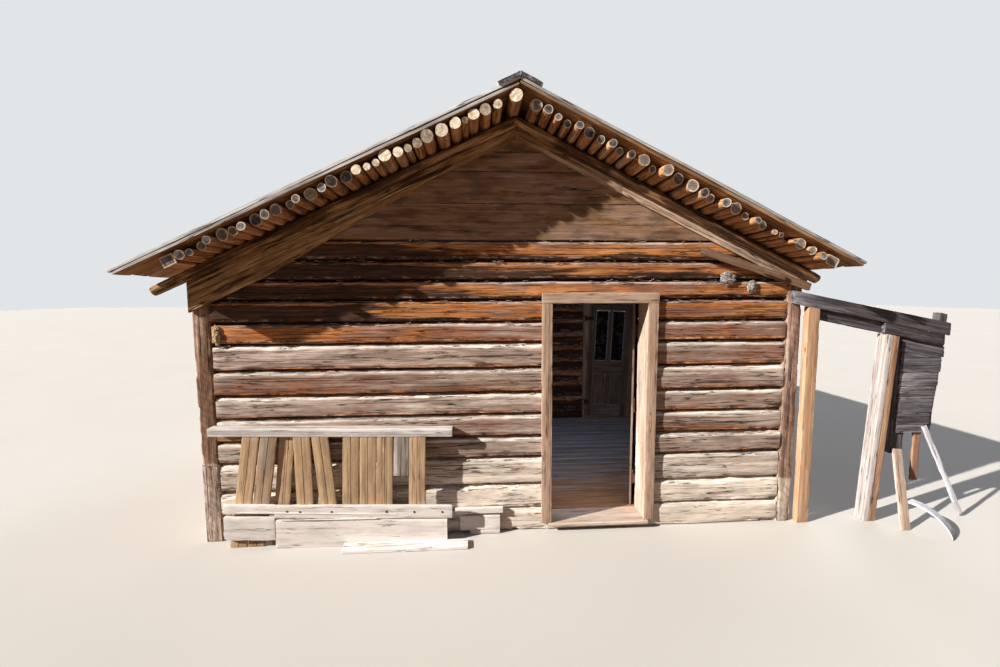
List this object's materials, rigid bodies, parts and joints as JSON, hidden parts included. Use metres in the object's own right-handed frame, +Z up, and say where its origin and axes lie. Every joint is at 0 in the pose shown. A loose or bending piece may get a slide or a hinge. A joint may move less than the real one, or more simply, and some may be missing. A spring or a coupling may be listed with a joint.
{
  "type": "log cabin",
  "caption": "Gable-fronted hewn-log cabin with a pole roof, an open front doorway, bench remains along the front and the ruined frame of a lean-to at the right corner.",
  "frame": {"origin": "middle of the front wall, on the underside of its sill log, at ground level", "axes": "+X along the front to the right as seen from outside, +Y from the front wall to the back wall, +Z up"},
  "size_m": [7.5195, 4.5064, 3.8892],
  "materials": {
    "log_wood": "weathered hewn log",
    "post_wood": "weathered hewn post",
    "gable_wood": "weathered board",
    "pole_wood": "peeled pole",
    "roof_board_wood": "silvered board",
    "trim_wood": "weathered board",
    "bench_wood": "weathered board",
    "plank_wood": "bleached plank",
    "floor_wood": "worn floor board",
    "door_wood": "dark weathered board",
    "fresh_wood": "newer sawn post",
    "grey_wood": "silvered board",
    "iron": "rusty iron",
    "glass": "old window glass"
  },
  "bodies": {
    "cabin": {"back_door_casing": "trim_wood", "back_door_frame": "trim_wood", "back_gable_boards": "gable_wood", "back_hinge_pins": "iron", "back_left_logs": "log_wood", "back_left_post": "post_wood", "back_rafters": "pole_wood", "back_rake_boards": "gable_wood", "back_right_logs": "log_wood", "back_right_post": "post_wood", "back_upper_logs": "log_wood", "base_planks": "plank_wood", "bench_boards": "bench_wood", "bench_shelf": "bench_wood", "corner_plank": "gable_wood", "floor_boards": "floor_wood", "floor_joists": "floor_wood", "front_door_casing": "trim_wood", "front_door_frame": "trim_wood", "front_gable_boards": "gable_wood", "front_hinge_pins": "iron", "front_left_logs": "log_wood", "front_left_post": "post_wood", "front_rafters": "pole_wood", "front_rake_boards": "gable_wood", "front_right_logs": "log_wood", "front_right_post": "post_wood", "front_upper_logs": "log_wood", "leanto_battens": "grey_wood", "leanto_beam": "grey_wood", "leanto_braces": "plank_wood", "leanto_header": "grey_wood", "leanto_jamb": "plank_wood", "leanto_panel": "grey_wood", "leanto_prop": "fresh_wood", "left_roof_boards": "roof_board_wood", "left_roof_cover": "roof_board_wood", "left_roof_poles": "pole_wood", "left_wall_logs": "log_wood", "ridge_cap": "roof_board_wood", "ridge_pole": "pole_wood", "right_roof_boards": "roof_board_wood", "right_roof_cover": "roof_board_wood", "right_roof_poles": "pole_wood", "right_wall_logs": "log_wood", "sill_logs": "log_wood"},
    "front_door": {"front_door": "door_wood", "front_door_straps": "iron"},
    "back_door": {"back_door": "door_wood", "back_door_glass": "glass", "back_door_straps": "iron"}
  },
  "joints": [
    {"name": "front_door_hinge", "type": "hinge", "parent": "cabin", "child": "front_door", "pos_m": [1.255, 0.149, 0], "axis": [0, 0, 1], "range_deg": [0, 112]},
    {"name": "back_door_hinge", "type": "hinge", "parent": "cabin", "child": "back_door", "pos_m": [1.55, 3.301, 0], "axis": [0, 0, 1], "range_deg": [-95, 0]}
  ]
}
